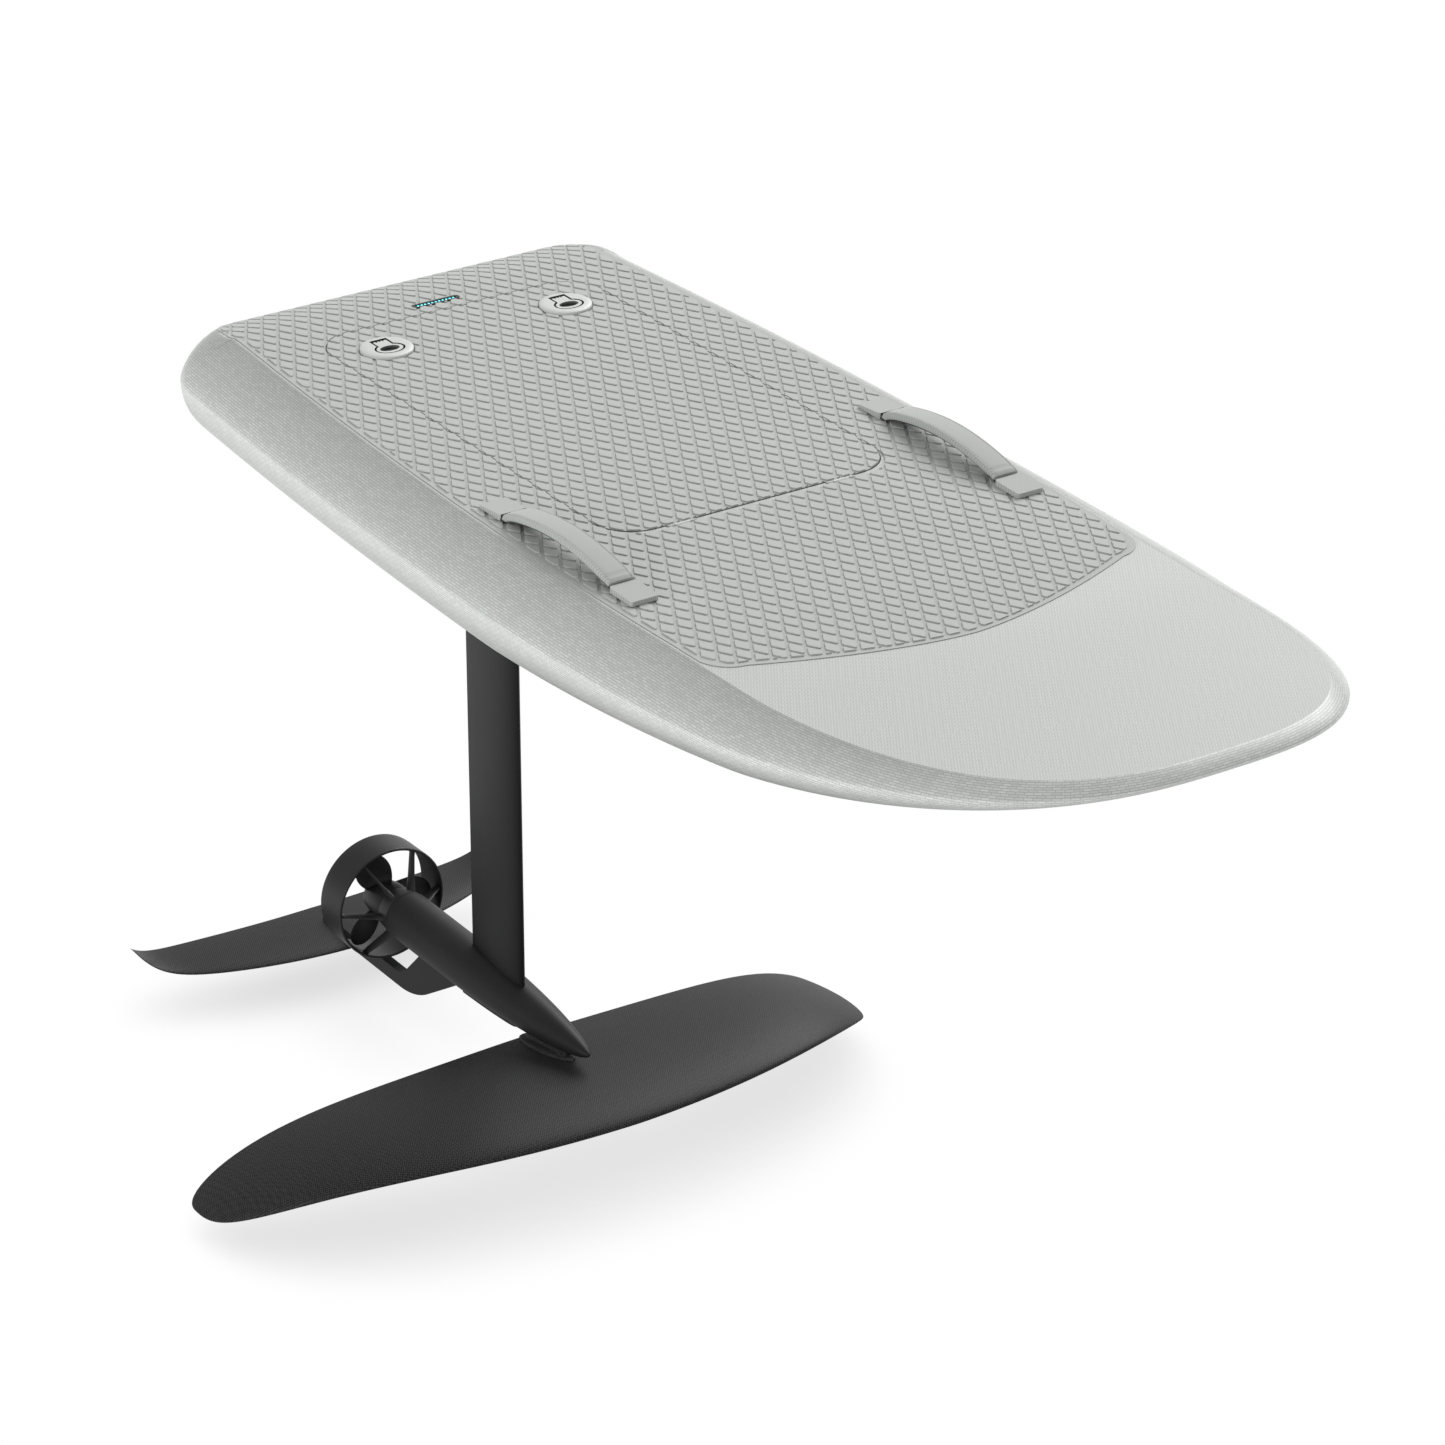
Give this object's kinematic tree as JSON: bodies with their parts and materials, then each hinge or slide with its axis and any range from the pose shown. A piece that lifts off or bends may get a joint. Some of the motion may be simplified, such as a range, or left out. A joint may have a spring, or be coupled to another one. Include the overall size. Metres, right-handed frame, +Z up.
{
  "type": "electric hydrofoil board",
  "caption": "Electric hydrofoil board: padded hull with a latched battery hatch and carry straps, mast, ducted propeller pod, front wing and stabiliser.",
  "frame": {"origin": "on the hull's flat bottom, under the middle of the battery hatch", "axes": "+X towards the nose, +Y to port, +Z up; the mast points down along -Z"},
  "size_m": [1.8767, 0.9326, 1.0345],
  "materials": {
    "hull_paint": "satin paint over a woven laminate",
    "pad_foam": "matte moulded foam with raised diamonds",
    "lid_shell": "matte moulding",
    "seal_rubber": "matte rubber",
    "white_plastic": "satin white moulding",
    "black_plastic": "satin black moulding",
    "light_lens": "clear cover over small lamps",
    "strap_cloth": "woven strap",
    "stainless_steel": "brushed",
    "copper_winding": "enamelled wire",
    "black_anodised": "satin black anodised",
    "carbon_fibre": "satin woven carbon laminate",
    "battery_shell": "matte case"
  },
  "bodies": {
    "board": {"battery_case": "battery_shell", "bay_liner": "lid_shell", "board_hull": "hull_paint", "deck_pad": "pad_foam", "front_bearing": "stainless_steel", "front_wing": "carbon_fibre", "handle_front_tab_port": "strap_cloth", "handle_front_tab_starboard": "strap_cloth", "handle_grip_port": "strap_cloth", "handle_grip_starboard": "strap_cloth", "handle_rear_tab_port": "strap_cloth", "handle_rear_tab_starboard": "strap_cloth", "handle_webbing_port": "strap_cloth", "handle_webbing_starboard": "strap_cloth", "hatch_seal": "seal_rubber", "hinge_bracket_port": "white_plastic", "hinge_bracket_starboard": "white_plastic", "hinge_pin_port": "stainless_steel", "hinge_pin_starboard": "stainless_steel", "keel_panel": "black_anodised", "latch_strike_port": "stainless_steel", "latch_strike_starboard": "stainless_steel", "light_housing": "black_plastic", "light_lens": "light_lens", "mast": "black_anodised", "mast_bolt_1": "stainless_steel", "mast_bolt_2": "stainless_steel", "mast_bolt_3": "stainless_steel", "mast_bolt_4": "stainless_steel", "mast_cable": "seal_rubber", "mast_insert": "black_anodised", "mast_plate": "black_anodised", "motor_pod": "black_anodised", "motor_stator": "copper_winding", "power_socket": "black_plastic", "prop_guard": "black_plastic", "rear_bearing": "stainless_steel", "shaft_seal": "seal_rubber", "stabiliser": "carbon_fibre", "stabiliser_screw_1": "stainless_steel", "stabiliser_screw_2": "stainless_steel", "tail_arm": "black_anodised", "wing_screw_1": "stainless_steel", "wing_screw_2": "stainless_steel"},
    "hatch": {"hatch_lid": "lid_shell", "hatch_pad": "pad_foam", "hinge_leaf_port": "white_plastic", "latch_housing_port": "black_plastic", "hinge_leaf_starboard": "white_plastic", "latch_housing_starboard": "black_plastic"},
    "propeller": {"propeller": "black_plastic", "propeller_nut": "black_plastic", "motor_shaft": "stainless_steel", "motor_rotor": "stainless_steel"},
    "latch_port": {"latch_knob_port": "white_plastic", "latch_cam_port": "stainless_steel"},
    "ring_port": {"lift_ring_port": "white_plastic"},
    "latch_starboard": {"latch_knob_starboard": "white_plastic", "latch_cam_starboard": "stainless_steel"},
    "ring_starboard": {"lift_ring_starboard": "white_plastic"}
  },
  "joints": [
    {"name": "hatch_hinge", "type": "hinge", "parent": "board", "child": "hatch", "pos_m": [0.3345, 0, 0.1258], "axis": [0, 1, 0], "range_deg": [0, 95]},
    {"name": "propeller_spin", "type": "hinge", "parent": "board", "child": "propeller", "pos_m": [-0.519, 0, -0.742], "axis": [1, 0, 0], "continuous": true},
    {"name": "latch_turn_port", "type": "hinge", "parent": "hatch", "child": "latch_port", "pos_m": [-0.2605, 0.122, 0.1298], "axis": [0, 0, 1], "range_deg": [-90, 0]},
    {"name": "ring_lift_port", "type": "hinge", "parent": "latch_port", "child": "ring_port", "pos_m": [-0.276, 0.122, 0.1298], "axis": [0, -1, 0], "range_deg": [0, 90]},
    {"name": "latch_turn_starboard", "type": "hinge", "parent": "hatch", "child": "latch_starboard", "pos_m": [-0.2605, -0.122, 0.1298], "axis": [0, 0, 1], "range_deg": [0, 90]},
    {"name": "ring_lift_starboard", "type": "hinge", "parent": "latch_starboard", "child": "ring_starboard", "pos_m": [-0.276, -0.122, 0.1298], "axis": [0, -1, 0], "range_deg": [0, 90]}
  ]
}
